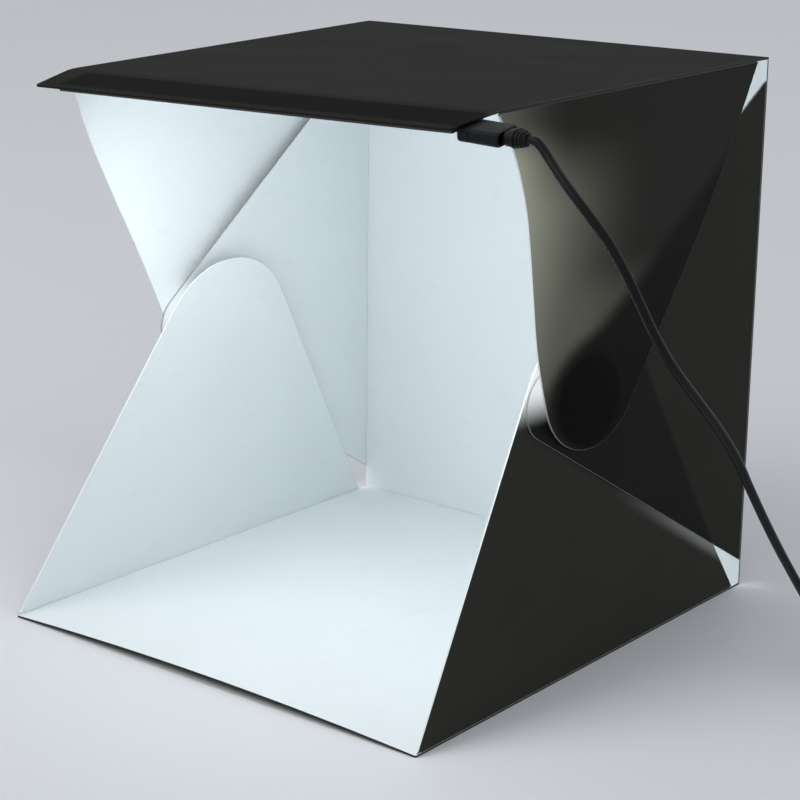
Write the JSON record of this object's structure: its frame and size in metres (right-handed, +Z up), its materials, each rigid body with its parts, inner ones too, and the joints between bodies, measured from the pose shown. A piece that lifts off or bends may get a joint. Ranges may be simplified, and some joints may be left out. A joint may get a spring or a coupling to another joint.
{
  "type": "folding light tent",
  "caption": "Open-fronted folding light tent of creased plastic sheet: panels and tapering side flaps on live hinges, a light strip under the front lip, and a plug-in power lead.",
  "frame": {"origin": "middle of the base panel's underside, on the floor", "axes": "+Z up, the open mouth faces -Y, the power lead leaves at the +X end of the light strip"},
  "size_m": [0.357, 0.2413, 0.2385],
  "materials": {
    "tent_sheet": "satin sheet, charcoal outside, white inside",
    "magnet": "nickel plated",
    "keeper_steel": "plain",
    "foam_tape": "matt foam",
    "circuit_board": "black solder mask",
    "led_chip": "phosphor lens in a white package",
    "black_moulding": "fine spark texture",
    "connector_steel": "bright nickel",
    "cord_sheath": "satin",
    "tie_strap": "woven"
  },
  "bodies": {
    "base": {"base_panel": "tent_sheet"},
    "back": {"back_panel": "tent_sheet"},
    "top": {"top_panel": "tent_sheet", "led_tape": "foam_tape", "led_board": "circuit_board", "led_chip_01": "led_chip", "led_chip_02": "led_chip", "led_chip_03": "led_chip", "led_chip_04": "led_chip", "led_chip_05": "led_chip", "led_chip_06": "led_chip", "led_chip_07": "led_chip", "led_chip_08": "led_chip", "led_chip_09": "led_chip", "led_chip_10": "led_chip", "led_chip_11": "led_chip", "led_chip_12": "led_chip", "led_chip_13": "led_chip", "led_chip_14": "led_chip", "led_chip_15": "led_chip", "led_chip_16": "led_chip", "led_chip_17": "led_chip", "led_chip_18": "led_chip", "led_chip_19": "led_chip", "led_chip_20": "led_chip", "socket_housing": "black_moulding", "socket_shell": "connector_steel", "socket_tongue": "black_moulding"},
    "lower_left": {"lower_flap_left": "tent_sheet", "lower_magnet_left": "magnet"},
    "lower_right": {"lower_flap_right": "tent_sheet", "lower_magnet_right": "magnet"},
    "rear_left": {"rear_flap_left": "tent_sheet"},
    "rear_right": {"rear_flap_right": "tent_sheet"},
    "upper_left": {"upper_flap_left": "tent_sheet", "upper_keeper_left": "keeper_steel"},
    "upper_right": {"upper_flap_right": "tent_sheet", "upper_keeper_right": "keeper_steel"},
    "lead": {"plug_body": "black_moulding", "plug_shell": "connector_steel", "plug_tongue": "black_moulding", "usb_cord": "cord_sheath", "cord_coil": "cord_sheath", "cord_tie": "tie_strap", "usb_a_body": "black_moulding", "usb_a_shell": "connector_steel", "usb_a_tongue": "black_moulding"}
  },
  "joints": [
    {"name": "back_fold", "type": "hinge", "parent": "base", "child": "back", "pos_m": [0, 0.119, 0], "axis": [-1, 0, 0], "range_deg": [0, 90]},
    {"name": "top_fold", "type": "hinge", "parent": "back", "child": "top", "pos_m": [0, 0.119, 0.2385], "axis": [-1, 0, 0], "range_deg": [0, 90]},
    {"name": "lower_flap_left_fold", "type": "hinge", "parent": "base", "child": "lower_left", "pos_m": [-0.1092, 0, 0.0011], "axis": [0, 1, 0], "range_deg": [0, 82.5]},
    {"name": "upper_flap_left_fold", "type": "hinge", "parent": "top", "child": "upper_left", "pos_m": [-0.11, 0.119, 0.2385], "axis": [0, 0.9996, 0.0294], "range_deg": [0, 150]},
    {"name": "rear_flap_left_fold", "type": "hinge", "parent": "back", "child": "rear_left", "pos_m": [-0.11, 0.119, 0], "axis": [0, 0, -1], "range_deg": [0, 90]},
    {"name": "lower_flap_right_fold", "type": "hinge", "parent": "base", "child": "lower_right", "pos_m": [0.1092, 0, 0.0011], "axis": [0, -1, 0], "range_deg": [0, 78]},
    {"name": "upper_flap_right_fold", "type": "hinge", "parent": "top", "child": "upper_right", "pos_m": [0.11, 0.119, 0.2385], "axis": [0, -0.9999, -0.0126], "range_deg": [0, 150]},
    {"name": "rear_flap_right_fold", "type": "hinge", "parent": "back", "child": "rear_right", "pos_m": [0.11, 0.119, 0], "axis": [0, 0, 1], "range_deg": [0, 90]},
    {"name": "plug_pull", "type": "slide", "parent": "top", "child": "lead", "axis": [0.9992, 0.0099, -0.0388], "range_m": [0, 0.02]}
  ],
  "couplings": [
    {"joint": "rear_flap_left_fold", "follows": "upper_flap_left_fold", "ratio": 0.6},
    {"joint": "rear_flap_right_fold", "follows": "upper_flap_right_fold", "ratio": 0.6}
  ]
}
